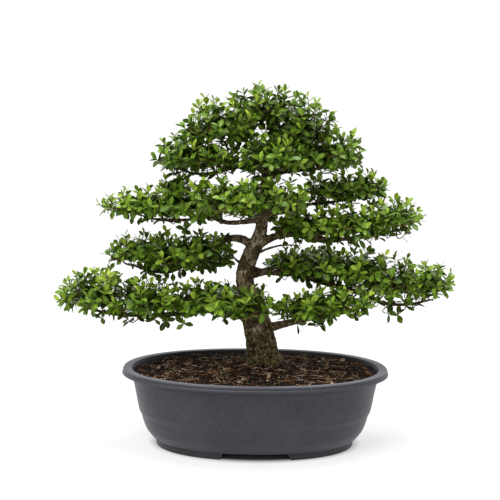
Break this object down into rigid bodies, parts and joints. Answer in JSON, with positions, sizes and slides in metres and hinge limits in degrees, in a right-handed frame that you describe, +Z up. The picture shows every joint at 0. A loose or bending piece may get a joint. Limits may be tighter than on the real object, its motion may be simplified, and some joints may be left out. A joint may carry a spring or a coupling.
{
  "type": "bonsai tree in a pot",
  "caption": "Informal upright small-leaved holly bonsai with tiered foliage pads on a curved trunk, in a soil-filled oval training pot.",
  "frame": {"origin": "on the ground under the middle of the pot", "axes": "+X to the viewer's right along the pot's length, -Y to the front, +Z up"},
  "size_m": [0.6157, 0.2998, 0.5465],
  "materials": {
    "pot": "matte slate grey, moulded",
    "soil": "rough dark bark and coir mix",
    "bark": "rough grey-brown bark",
    "leaves": "waxy mid green leaves"
  },
  "bodies": {
    "root": {"pot": "pot", "foot_left": "pot", "foot_right": "pot", "soil": "soil", "trunk_and_boughs": "bark", "foliage_apex": "leaves", "foliage_crown_left": "leaves", "foliage_crown_right": "leaves", "foliage_crown_front": "leaves", "foliage_crown_back": "leaves", "foliage_second_left": "leaves", "foliage_second_front": "leaves", "foliage_second_right_high": "leaves", "foliage_second_right": "leaves", "foliage_second_back": "leaves", "foliage_third_left": "leaves", "foliage_third_right": "leaves", "foliage_third_back_right": "leaves", "foliage_third_back_left": "leaves", "foliage_fourth_left": "leaves", "foliage_fourth_front": "leaves", "foliage_fourth_right": "leaves", "foliage_fourth_back": "leaves"}
  },
  "joints": []
}
